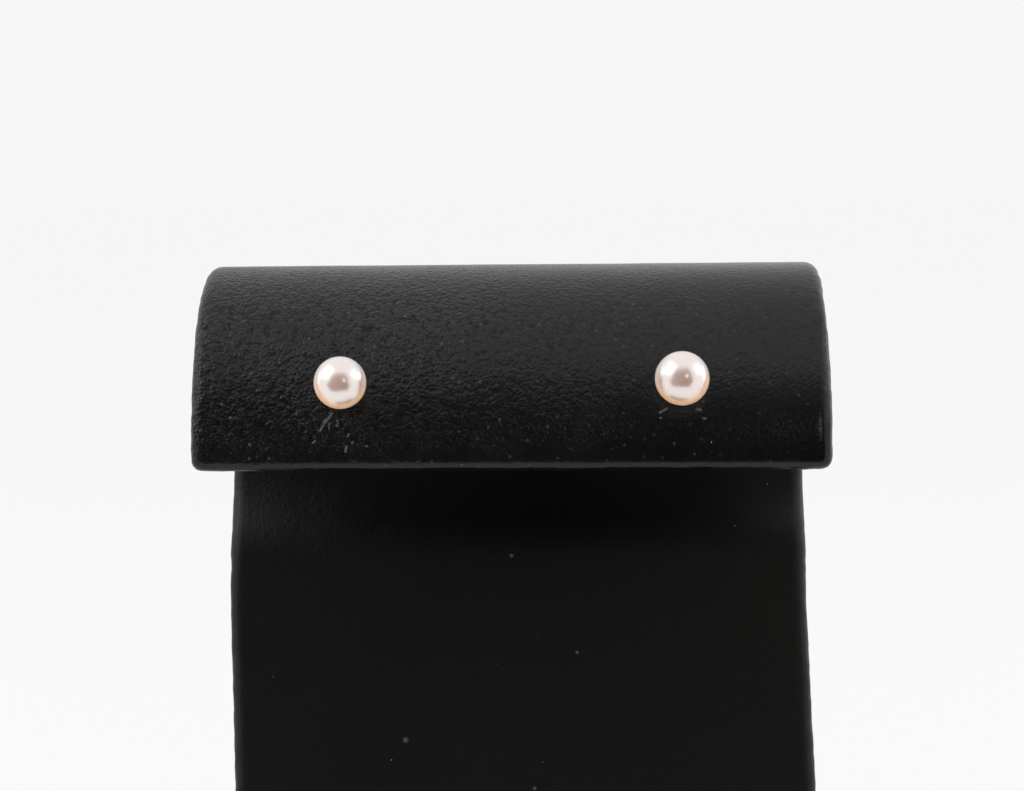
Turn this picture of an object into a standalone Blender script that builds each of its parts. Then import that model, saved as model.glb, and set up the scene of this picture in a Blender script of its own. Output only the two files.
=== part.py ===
"""Pair of pearl stud earrings on a leather-covered display stand.

Metres, +Z up. The origin lies on the surface that the stand rests on, under the
middle of the base plate. The pearls face -Y, and the roll of the stand runs
along X. Angles round the roll are in degrees, counted from the front, up and
over the top to the back.
"""

import math
from collections import namedtuple

import bmesh
import bpy
from mathutils import Matrix, Vector

# The stand, a strip of leather-covered board
STAND_HEIGHT = 0.088
STRIP_WIDTH = 0.060
STRIP_THICKNESS = 0.0022
EDGE_ROUND = 0.0010
CURL_OUTER_RADIUS = 0.018
CURL_FRONT_ANGLE = -1.35
CURL_REAR_ANGLE = 215.0
CREASE_RADIUS = 0.0100
TAIL_LENGTH = 0.0041
UPRIGHT_LEAN = 11.65
UPRIGHT_SKEW = 1.88
BASE_MARGIN = 0.0025
BASE_DEPTH = 0.046
BASE_THICKNESS = 0.0042
SLOT_DEPTH = 0.0018

# The two studs, whose pearls are not quite the same size
LEFT_STUD_X = -0.0157
LEFT_STUD_ANGLE = 22.1
LEFT_PEARL_DIAMETER = 0.00487
RIGHT_STUD_X = 0.0159
RIGHT_STUD_ANGLE = 22.5
RIGHT_PEARL_DIAMETER = 0.00503
PEG_DIAMETER = 0.0007
PEG_LENGTH = 0.0026
CUP_DIAMETER = 0.0030
CUP_WALL = 0.0003
POST_DIAMETER = 0.0008
POST_LENGTH = 0.0100
NOTCH_DEPTH = 0.00012
NOTCH_WIDTH = 0.0005
NOTCH_FROM_TIP = 0.0018

# The ear nuts, each one strip of sheet metal with two rolled ends
NUT_SHEET = 0.00025
NUT_WIDTH = 0.0036
NUT_SCROLL_RADIUS = 0.0009
NUT_SCROLL_SWEEP = 290.0

# Clearances
PIECE_GAP = 0.0003
SETTING_GAP = 0.0002

# Fineness of the meshes
CURL_STEP = 6.0
CREASE_STEP = 7.0
SCROLL_STEP = 29.0
EDGE_SEGMENTS = 3
ROUND_SIDES = 16
PEARL_RINGS = 12
CUP_STEPS = 4
MERGE_DISTANCE = 0.000001
CUT_OVERLAP = 0.0010

# Places that follow from the sizes above
CURL_CENTRE_HEIGHT = STAND_HEIGHT - CURL_OUTER_RADIUS
CURL_MID_RADIUS = CURL_OUTER_RADIUS - STRIP_THICKNESS / 2
CURL_INNER_RADIUS = CURL_OUTER_RADIUS - STRIP_THICKNESS
TAIL_HEADING = math.radians(-90 - UPRIGHT_LEAN)
LEAN_SLOPE = math.tan(math.radians(UPRIGHT_LEAN))
SKEW_SLOPE = math.tan(math.radians(UPRIGHT_SKEW))

Stud = namedtuple("Stud", "side x angle pearl_radius")
STUDS = (
    Stud("left", LEFT_STUD_X, LEFT_STUD_ANGLE, LEFT_PEARL_DIAMETER / 2),
    Stud("right", RIGHT_STUD_X, RIGHT_STUD_ANGLE, RIGHT_PEARL_DIAMETER / 2),
)


def material(name, colour, roughness, metallic=0.0):
    """A plain Principled material."""
    made = bpy.data.materials.new(name)
    made.use_nodes = True
    shader = made.node_tree.nodes["Principled BSDF"]
    shader.inputs["Base Color"].default_value = (*colour, 1.0)
    shader.inputs["Roughness"].default_value = roughness
    shader.inputs["Metallic"].default_value = metallic
    return made


def add_object(name, mesh, collection, placed=Matrix.Identity(4)):
    """A new object of that mesh in a collection, placed by a matrix."""
    made = bpy.data.objects.new(name, mesh)
    made.matrix_world = placed
    collection.objects.link(made)
    return made


def mesh_from(name, bm):
    """The finished mesh of a bmesh, with soft shading between shallow faces."""
    mesh = bpy.data.meshes.new(name)
    bm.to_mesh(mesh)
    bm.free()
    mesh.shade_smooth()
    mesh.set_sharp_from_angle(angle=math.radians(40))
    return mesh


def as_cutter(cutter):
    """Marks an object as a cutter, which is not part of the model."""
    cutter.hide_render = True
    cutter.display_type = "WIRE"
    return cutter


def thicken(obj, thickness):
    """A wall of that thickness, half on each side of an open surface."""
    solid = obj.modifiers.new("wall", "SOLIDIFY")
    solid.thickness = thickness
    solid.offset = 0.0
    solid.use_even_offset = True


def round_edges(obj, width, segments):
    """Rounds the edges where faces meet at a clear angle."""
    bevel = obj.modifiers.new("rounding", "BEVEL")
    bevel.width = width
    bevel.segments = segments
    bevel.limit_method = "ANGLE"
    bevel.angle_limit = math.radians(50)


def cut(obj, cutter):
    """Takes the cutter's form out of the object."""
    boolean = obj.modifiers.new("cut_" + cutter.name, "BOOLEAN")
    boolean.operation = "DIFFERENCE"
    boolean.solver = "EXACT"
    boolean.object = cutter


def strip_mesh(name, profile, width):
    """An open strip: the profile, as (y, z), drawn out along X to a width."""
    bm = bmesh.new()
    points = [bm.verts.new((-width / 2, y, z)) for y, z in profile]
    edges = [bm.edges.new(pair) for pair in zip(points, points[1:])]
    drawn = bmesh.ops.extrude_edge_only(bm, edges=edges)["geom"]
    moved = [item for item in drawn if isinstance(item, bmesh.types.BMVert)]
    bmesh.ops.translate(bm, verts=moved, vec=(width, 0, 0))
    return mesh_from(name, bm)


def cylinder_mesh(name, radius, low, high):
    """A round bar along Z between two heights."""
    bm = bmesh.new()
    bmesh.ops.create_cone(
        bm,
        cap_ends=True,
        segments=ROUND_SIDES,
        radius1=radius,
        radius2=radius,
        depth=high - low,
        matrix=Matrix.Translation((0, 0, (low + high) / 2)),
    )
    return mesh_from(name, bm)


def turned_object(name, profile, collection, placed):
    """A body turned round Z from a profile of (radius, height), top to bottom."""
    bm = bmesh.new()
    points = [bm.verts.new((radius, 0, height)) for radius, height in profile]
    for pair in zip(points, points[1:]):
        bm.edges.new(pair)
    made = add_object(name, mesh_from(name, bm), collection, placed)
    screw = made.modifiers.new("turning", "SCREW")
    screw.steps = ROUND_SIDES
    screw.render_steps = ROUND_SIDES
    screw.use_merge_vertices = True
    screw.merge_threshold = MERGE_DISTANCE
    return made


def arc_angles(start, end, step):
    """Angles from start to end in equal steps no longer than step."""
    count = max(2, math.ceil(abs(end - start) / step))
    return [start + (end - start) * i / count for i in range(count + 1)]


def curl_point(angle, radius):
    """The (y, z) at an angle and a radius round the roll's axis."""
    turn = math.radians(angle)
    return Vector(
        (-radius * math.cos(turn), CURL_CENTRE_HEIGHT + radius * math.sin(turn))
    )


def heading_vector(heading):
    """The unit (y, z) that points along a heading in radians."""
    return Vector((math.cos(heading), math.sin(heading)))


def heading_left(heading):
    """The unit (y, z) on the left of a heading, which is the back of the tail."""
    return Vector((-math.sin(heading), math.cos(heading)))


def tail_start():
    """Where the crease ends and the straight tail starts, at mid-thickness."""
    arc_end = curl_point(CURL_REAR_ANGLE, CURL_MID_RADIUS)
    heading = math.radians(90 - CURL_REAR_ANGLE)
    centre = arc_end + CREASE_RADIUS * heading_left(heading)
    return centre - CREASE_RADIUS * heading_left(TAIL_HEADING)


def curl_profile():
    """The roll at mid-thickness: its arc, the crease and the straight tail."""
    angles = arc_angles(CURL_FRONT_ANGLE, CURL_REAR_ANGLE, CURL_STEP)
    points = [curl_point(angle, CURL_MID_RADIUS) for angle in angles]
    first_heading = 90 - CURL_REAR_ANGLE
    centre = points[-1] + CREASE_RADIUS * heading_left(math.radians(first_heading))
    headings = arc_angles(first_heading, math.degrees(TAIL_HEADING), CREASE_STEP)
    for heading in headings[1:]:
        points.append(centre - CREASE_RADIUS * heading_left(math.radians(heading)))
    points.append(points[-1] + TAIL_LENGTH * heading_vector(TAIL_HEADING))
    return points


def tail_end():
    """The middle of the tail's lower end."""
    return tail_start() + TAIL_LENGTH * heading_vector(TAIL_HEADING)


def upright_top():
    """The height of the upright's top, just clear of the tail's lower end."""
    corner = STRIP_THICKNESS / 2 * math.sin(math.radians(UPRIGHT_LEAN))
    return tail_end().y - corner - PIECE_GAP


def leaning_block(name, low, high, margin):
    """A block that follows the upright's lean and skew between two heights."""
    anchor = tail_end()
    level_thickness = STRIP_THICKNESS / math.cos(math.radians(UPRIGHT_LEAN))
    size = (STRIP_WIDTH + 2 * margin, level_thickness + 2 * margin, high - low)
    bm = bmesh.new()
    bmesh.ops.create_cube(bm, size=1.0, matrix=Matrix.Diagonal((*size, 1.0)))
    middle = (low + high) / 2
    for vert in bm.verts:
        height = middle + vert.co.z - anchor.y
        vert.co.x -= SKEW_SLOPE * height
        vert.co.y += anchor.x + LEAN_SLOPE * height
        vert.co.z += middle
    return mesh_from(name, bm)


def stud_frame(stud):
    """Places a stud: origin at the pearl's centre, +Z away from the stand."""
    seat = stud.pearl_radius + SETTING_GAP + CUP_WALL + PIECE_GAP
    centre = curl_point(stud.angle, CURL_OUTER_RADIUS + seat)
    turned = Matrix.Rotation(math.radians(90 - stud.angle), 4, "X")
    return Matrix.Translation((stud.x, centre.x, centre.y)) @ turned, seat


def build_curl(parts, cutters, leather):
    """The rolled top of the stand, pierced for the two posts."""
    curl = add_object(
        "stand_curl", strip_mesh("stand_curl", curl_profile(), STRIP_WIDTH), parts
    )
    thicken(curl, STRIP_THICKNESS)
    round_edges(curl, EDGE_ROUND, EDGE_SEGMENTS)
    hole_radius = POST_DIAMETER / 2 + PIECE_GAP
    for stud in STUDS:
        placed, seat = stud_frame(stud)
        name = "hole_" + stud.side
        low = -seat - STRIP_THICKNESS - CUT_OVERLAP
        mesh = cylinder_mesh(name, hole_radius, low, -seat + CUT_OVERLAP)
        cut(curl, as_cutter(add_object(name, mesh, cutters, placed)))
    curl.data.materials.append(leather)


def build_upright(parts, leather):
    """The leaning upright, with its foot in the base plate's slot."""
    foot = BASE_THICKNESS - SLOT_DEPTH + PIECE_GAP
    mesh = leaning_block("stand_upright", foot, upright_top(), 0.0)
    upright = add_object("stand_upright", mesh, parts)
    round_edges(upright, EDGE_ROUND, EDGE_SEGMENTS)
    upright.data.materials.append(leather)


def build_base(parts, cutters, leather):
    """The base plate, with a slot for the upright's foot."""
    size = (STRIP_WIDTH + 2 * BASE_MARGIN, BASE_DEPTH, BASE_THICKNESS)
    bm = bmesh.new()
    bmesh.ops.create_cube(bm, size=1.0, matrix=Matrix.Diagonal((*size, 1.0)))
    bmesh.ops.translate(bm, verts=bm.verts, vec=(0, 0, BASE_THICKNESS / 2))
    base = add_object("stand_base", mesh_from("stand_base", bm), parts)
    round_edges(base, EDGE_ROUND, EDGE_SEGMENTS)
    slot = leaning_block(
        "slot",
        BASE_THICKNESS - SLOT_DEPTH,
        BASE_THICKNESS + CUT_OVERLAP,
        PIECE_GAP,
    )
    cut(base, as_cutter(add_object("slot", slot, cutters)))
    base.data.materials.append(leather)


def build_pearl(stud, parts, cutters, nacre):
    """One pearl, drilled from behind for its peg."""
    placed, _ = stud_frame(stud)
    name = "pearl_" + stud.side
    bm = bmesh.new()
    bmesh.ops.create_uvsphere(
        bm, u_segments=ROUND_SIDES, v_segments=PEARL_RINGS, radius=stud.pearl_radius
    )
    pearl = add_object(name, mesh_from(name, bm), parts, placed)
    drill_name = "drill_" + stud.side
    drill = cylinder_mesh(
        drill_name,
        PEG_DIAMETER / 2 + SETTING_GAP,
        -stud.pearl_radius - CUT_OVERLAP,
        -stud.pearl_radius + PEG_LENGTH + SETTING_GAP,
    )
    cut(pearl, as_cutter(add_object(drill_name, drill, cutters, placed)))
    pearl.data.materials.append(nacre)


def post_profile(stud):
    """The peg, cup and post as (radius, height), from the peg's tip down."""
    peg = PEG_DIAMETER / 2
    post = POST_DIAMETER / 2
    inner = stud.pearl_radius + SETTING_GAP
    outer = inner + CUP_WALL
    rim = math.asin(CUP_DIAMETER / 2 / outer)
    neck = math.asin(peg / inner)
    collar = math.asin(post / outer)
    points = [(0.0, PEG_LENGTH - stud.pearl_radius)]
    points.append((peg, PEG_LENGTH - stud.pearl_radius))
    for i in range(CUP_STEPS + 1):
        turn = neck + (rim - neck) * i / CUP_STEPS
        points.append((inner * math.sin(turn), -inner * math.cos(turn)))
    for i in range(CUP_STEPS + 1):
        turn = rim + (collar - rim) * i / CUP_STEPS
        points.append((outer * math.sin(turn), -outer * math.cos(turn)))
    tip = -outer - POST_LENGTH
    notch = tip + NOTCH_FROM_TIP
    points.append((post, notch + NOTCH_WIDTH / 2))
    points.append((post - NOTCH_DEPTH, notch))
    points.append((post, notch - NOTCH_WIDTH / 2))
    points.append((post, tip + post / 2))
    points.append((post / 2, tip))
    points.append((0.0, tip))
    return points


def build_post(stud, parts, gold):
    """One setting: its peg in the pearl, its cup behind it and its post."""
    placed, _ = stud_frame(stud)
    post = turned_object("stud_post_" + stud.side, post_profile(stud), parts, placed)
    post.data.materials.append(gold)


def nut_profile():
    """The nut's strip at mid-thickness as (x, z): a flat with two rolled ends."""
    hole = POST_DIAMETER / 2 + SETTING_GAP
    reach = hole + NUT_SHEET / 2 + NUT_SCROLL_RADIUS
    scroll = []
    for turn in arc_angles(0.0, NUT_SCROLL_SWEEP, SCROLL_STEP):
        swing = math.radians(turn)
        out = NUT_SCROLL_RADIUS * math.sin(swing)
        drop = NUT_SCROLL_RADIUS * (1 - math.cos(swing))
        scroll.append((reach + out, -drop))
    mirrored = [(-x, z) for x, z in reversed(scroll)]
    return mirrored + scroll


def build_nut(stud, parts, cutters, gold):
    """One ear nut, pushed up the post to the inside of the roll."""
    placed, seat = stud_frame(stud)
    half = NUT_WIDTH / 2
    hollow = CURL_INNER_RADIUS - math.sqrt(CURL_INNER_RADIUS**2 - half**2)
    face = -seat - STRIP_THICKNESS - PIECE_GAP - hollow - NUT_SHEET / 2
    name = "ear_nut_" + stud.side
    quarter = Matrix.Rotation(math.radians(90), 4, "Z")
    mesh = strip_mesh(name, nut_profile(), NUT_WIDTH)
    nut = add_object(
        name, mesh, parts, placed @ Matrix.Translation((0, 0, face)) @ quarter
    )
    thicken(nut, NUT_SHEET)
    hole_name = "nut_hole_" + stud.side
    hole = cylinder_mesh(
        hole_name,
        POST_DIAMETER / 2 + SETTING_GAP,
        face - NUT_SHEET,
        face + NUT_SHEET,
    )
    cut(nut, as_cutter(add_object(hole_name, hole, cutters, placed)))
    nut.data.materials.append(gold)


def clear_scene():
    """Removes whatever the scene holds."""
    for old in list(bpy.data.objects):
        bpy.data.objects.remove(old, do_unlink=True)


def add_collection(name):
    """A new collection in the scene."""
    made = bpy.data.collections.new(name)
    bpy.context.scene.collection.children.link(made)
    return made


def main():
    """Builds the stand and both studs."""
    clear_scene()
    parts = add_collection("pearl_studs_on_stand")
    cutters = add_collection("cutters")
    leather = material("black_leather", (0.012, 0.012, 0.014), 0.5)
    nacre = material("pearl_nacre", (0.86, 0.80, 0.77), 0.2)
    gold = material("yellow_gold", (0.83, 0.62, 0.30), 0.25, metallic=1.0)
    build_curl(parts, cutters, leather)
    build_upright(parts, leather)
    build_base(parts, cutters, leather)
    for stud in STUDS:
        build_pearl(stud, parts, cutters, nacre)
        build_post(stud, parts, gold)
        build_nut(stud, parts, cutters, gold)


main()
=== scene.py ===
"""The looks of a pair of pearl studs on a leather-covered display stand.

Everything is in metres in the part's own frame: +Z up, the pearls facing -Y,
and the roll of the stand along X. Angles round the roll are in degrees, from
the front, up and over the top to the back.
"""

import logging
import math
from collections.abc import Callable, Mapping, Sequence
from dataclasses import dataclass, fields
from enum import Enum
from typing import Any

import bmesh
import bpy
from mathutils import Matrix, Vector, noise


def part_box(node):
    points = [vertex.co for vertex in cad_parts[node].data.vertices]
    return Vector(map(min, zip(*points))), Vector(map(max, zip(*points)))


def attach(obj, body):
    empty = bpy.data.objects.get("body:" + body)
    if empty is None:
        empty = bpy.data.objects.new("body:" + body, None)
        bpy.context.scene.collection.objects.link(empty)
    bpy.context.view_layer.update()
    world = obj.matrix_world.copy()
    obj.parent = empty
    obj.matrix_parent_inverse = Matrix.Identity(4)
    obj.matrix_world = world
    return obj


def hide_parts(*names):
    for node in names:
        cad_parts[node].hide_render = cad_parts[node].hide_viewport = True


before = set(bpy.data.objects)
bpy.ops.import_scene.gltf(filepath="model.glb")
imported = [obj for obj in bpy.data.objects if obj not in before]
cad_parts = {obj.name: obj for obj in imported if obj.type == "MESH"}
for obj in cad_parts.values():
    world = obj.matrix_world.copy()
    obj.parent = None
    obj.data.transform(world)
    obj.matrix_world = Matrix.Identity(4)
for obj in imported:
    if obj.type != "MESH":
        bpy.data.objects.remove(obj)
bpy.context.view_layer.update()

BODY = "root"
IMAGE_WIDTH = 1024
WHITE = (1.0, 1.0, 1.0, 1.0)
# A length too small to matter
TINY = 0.000001
# A share of a step that does not call for one more
SPARE_STEP = 1e-9
# The angles in degrees over which an edge is drawn sharp
TURNED_SHARPNESS = 35.0
PIERCED_SHARPNESS = 50.0
LINT_SHARPNESS = 60.0
# How much of a board's thickness its rounded faces take up
FACE_ROUNDING = 0.47
# The lengths of the flecks, as shares of their width
FLECK_LENGTHS = (0.8, 3.2)
# The scratches on the roll: two ends, each an x and an angle, and a width
NICKS = (
    ((-0.01665, 15.9), (-0.01723, 13.4), 0.00012),
    ((-0.01725, 13.7), (-0.01735, 13.2), 0.00022),
    ((-0.01745, 12.4), (-0.01780, 10.6), 0.00011),
    ((-0.01695, 13.0), (-0.01693, 11.0), 0.00008),
    ((-0.01620, 13.8), (-0.01610, 12.9), 0.00009),
    ((-0.01512, 9.7), (-0.01518, 9.0), 0.00011),
    ((-0.01532, 5.9), (-0.01541, 4.5), 0.00014),
    ((-0.01474, 7.3), (-0.01480, 6.9), 0.00011),
    ((-0.01350, 6.1), (-0.01340, 6.0), 0.00011),
    ((-0.01826, 7.6), (-0.01848, 7.0), 0.00011),
    ((0.01393, 15.4), (0.01458, 16.6), 0.00013),
    ((0.01396, 13.8), (0.01402, 13.8), 0.00012),
    ((0.01735, 16.3), (0.01765, 16.1), 0.00020),
    ((0.01795, 13.6), (0.01815, 13.5), 0.00012),
)
# The grains of dust on the upright: an x, a height and a width
DUST = (
    (-0.00062, 0.05727, 0.00024),
    (0.00612, 0.04740, 0.00022),
    (-0.01166, 0.03866, 0.00034),
    (0.00165, 0.03374, 0.00022),
)
Colour = tuple[float, float, float]
Pair = tuple[float, float]
log = logging.getLogger("pearl_studs")


class Slot(Enum):
    """The material slots."""

    PEARL = "pearl"
    GOLD = "gold"
    LEATHER = "leather"


def arithmetic(operation: str, swapped: bool = False) -> Callable[["Wire", Any], "Wire"]:
    """Makes a method of Wire that adds one Math node.

    Args:
        operation: The node's operation.
        swapped: Whether the other value comes first.

    Returns:
        The method, which takes the other value.
    """

    def method(self: "Wire", other: "Wire | float") -> "Wire":
        return self.math(operation, *((other, self) if swapped else (self, other)))

    return method


class Wire:
    """A node's socket whose arithmetic adds Math nodes to its tree."""

    def __init__(self, board: "NodeBoard", socket: bpy.types.NodeSocket) -> None:
        """Keeps the socket with the board that it belongs to."""
        self.board = board
        self.socket = socket

    def math(self, operation: str, *values: "Wire | float") -> "Wire":
        """Adds one Math node on these values."""
        return self.board.add("ShaderNodeMath", {"operation": operation}, dict(enumerate(values)))

    __add__ = arithmetic("ADD")
    __radd__ = arithmetic("ADD", swapped=True)
    __sub__ = arithmetic("SUBTRACT")
    __rsub__ = arithmetic("SUBTRACT", swapped=True)
    __mul__ = arithmetic("MULTIPLY")
    __rmul__ = arithmetic("MULTIPLY", swapped=True)
    __truediv__ = arithmetic("DIVIDE")
    __rtruediv__ = arithmetic("DIVIDE", swapped=True)
    __pow__ = arithmetic("POWER")
    at_least = arithmetic("MAXIMUM")
    at_most = arithmetic("MINIMUM")

    def __neg__(self) -> "Wire":
        """The value with its sign turned."""
        return self * -1.0

    def ceil(self) -> "Wire":
        """The next whole number up."""
        return self.math("CEIL", self)

    def root(self) -> "Wire":
        """The square root."""
        return self.math("SQRT", self)

    def eased(self, low: float, high: float) -> "Wire":
        """A smooth step from 0 at low to 1 at high."""
        return self.board.add(
            "ShaderNodeMapRange",
            {"interpolation_type": "SMOOTHSTEP"},
            {"Value": self, "From Min": low, "From Max": high},
        )

    def vector(self, operation: str, *others: "Wire | Sequence[float]") -> "Wire":
        """Adds one Vector Math node on this vector and others."""
        values = {0: self, **{i + 1: other for i, other in enumerate(others)}}
        output = 1 if operation in ("LENGTH", "DOT_PRODUCT", "DISTANCE") else 0
        return self.board.add("ShaderNodeVectorMath", {"operation": operation}, values, output)

    def scaled(self, factor: "Wire | float") -> "Wire":
        """This vector times a number."""
        return self.board.add(
            "ShaderNodeVectorMath", {"operation": "SCALE"}, {"Vector": self, "Scale": factor}
        )

    def parts(self) -> "tuple[Wire, Wire, Wire]":
        """This vector's X, Y and Z."""
        split = self.board.node("ShaderNodeSeparateXYZ", inputs={0: self})
        return tuple(Wire(self.board, split.outputs[i]) for i in range(3))


class NodeBoard:
    """A node tree that is being wired."""

    def __init__(self, tree: bpy.types.NodeTree) -> None:
        """Keeps the tree."""
        self.tree = tree

    def node(
        self,
        kind: str,
        settings: Mapping[str, Any] | None = None,
        inputs: Mapping[str | int, Any] | None = None,
    ) -> bpy.types.Node:
        """Adds a node of any kind.

        Args:
            kind: The node's type name.
            settings: Its own settings, set before its sockets.
            inputs: A value or a Wire for each socket, by name or number.

        Returns:
            The new node.
        """
        made = self.tree.nodes.new(kind)
        for name, value in (settings or {}).items():
            setattr(made, name, value)
        for key, value in (inputs or {}).items():
            self.feed(made, key, value)
        return made

    def add(
        self,
        kind: str,
        settings: Mapping[str, Any] | None = None,
        inputs: Mapping[str | int, Any] | None = None,
        output: str | int = 0,
    ) -> Wire:
        """Adds a node, as in node, and gives one of its outputs as a Wire."""
        return Wire(self, self.node(kind, settings, inputs).outputs[output])

    def feed(self, node: bpy.types.Node, key: str | int, value: Any) -> None:
        """Links a Wire to a node's input, or sets the input's own value."""
        socket = node.inputs[key]
        if isinstance(value, Wire):
            self.tree.links.new(value.socket, socket)
        else:
            socket.default_value = value

    def vector(self, x: Any, y: Any, z: Any) -> Wire:
        """A vector of three numbers or Wires."""
        return self.add("ShaderNodeCombineXYZ", inputs={0: x, 1: y, 2: z})

    def mixed(self, share: Any, first: Any, second: Any) -> Wire:
        """A colour between two, each a Wire or three numbers, by a share from 0 to 1."""
        made = self.node("ShaderNodeMix", {"data_type": "RGBA"}, {0: share})
        for index, value in ((6, first), (7, second)):
            self.feed(made, index, value if isinstance(value, Wire) else (*value, 1.0))
        return Wire(self, made.outputs[2])

    def principled(self, colour: Any, roughness: Any, more: Mapping[str, Any]) -> Wire:
        """A Principled shader with a colour, a roughness and further inputs."""
        given = {"Base Color": colour, "Roughness": roughness, **more}
        return self.add("ShaderNodeBsdfPrincipled", inputs=given)

    def grain(self, place: Wire, cell: float, detail: float = 2.0, roughness: float = 0.5) -> Wire:
        """Noise from 0 to 1 with lumps of about the size of a cell, in metres."""
        values = {"Vector": place, "Scale": 1 / cell, "Detail": detail, "Roughness": roughness}
        return self.add("ShaderNodeTexNoise", inputs=values)

    def cells(self, place: Wire, cell: float, feature: str, output: str = "Distance") -> Wire:
        """A cell pattern: the distance to a cell's edge or heart, or its colour."""
        given = {"Vector": place, "Scale": 1 / cell}
        return self.add("ShaderNodeTexVoronoi", {"feature": feature}, given, output)


class Finish:
    """A finish whose material is made once and shared."""

    name = "finish"

    def material(self) -> bpy.types.Material:
        """This finish's material, made the first time that it is asked for."""
        found = bpy.data.materials.get(self.name)
        if found is None:
            found = bpy.data.materials.new(self.name)
            found.use_nodes = True
            found.node_tree.nodes.clear()
            board = NodeBoard(found.node_tree)
            output = board.node("ShaderNodeOutputMaterial")
            board.feed(output, "Surface", self.surface(board))
        return found

    def surface(self, board: NodeBoard) -> Wire:
        """Wires the surface and gives its shader."""
        raise NotImplementedError

    @staticmethod
    def place(board: NodeBoard) -> Wire:
        """Where a point lies on the object, in metres."""
        return board.add("ShaderNodeTexCoord", output="Object")

    @staticmethod
    def bump(board: NodeBoard, height: Wire, distance: float) -> Wire:
        """A normal from a height of 0 to 1 that stands for a distance in metres."""
        given = {"Strength": 1.0, "Distance": distance, "Height": height}
        return board.add("ShaderNodeBump", inputs=given)


@dataclass(frozen=True)
class Nick:
    """A short scratch in the leather, whose torn lip catches the light."""

    start: Vector
    end: Vector
    width: float

    def strength(self, place: Wire) -> Wire:
        """From 0 beside the nick to 1 along its middle."""
        run = self.end - self.start
        offset = place.vector("SUBTRACT", tuple(self.start))
        share = offset.vector("DOT_PRODUCT", tuple(run)) / max(run.length_squared, TINY**2)
        nearest = place.board.vector(*run).scaled(share.at_least(0.0).at_most(1.0))
        return (1 - offset.vector("DISTANCE", nearest) / self.width).at_least(0.0)


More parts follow.
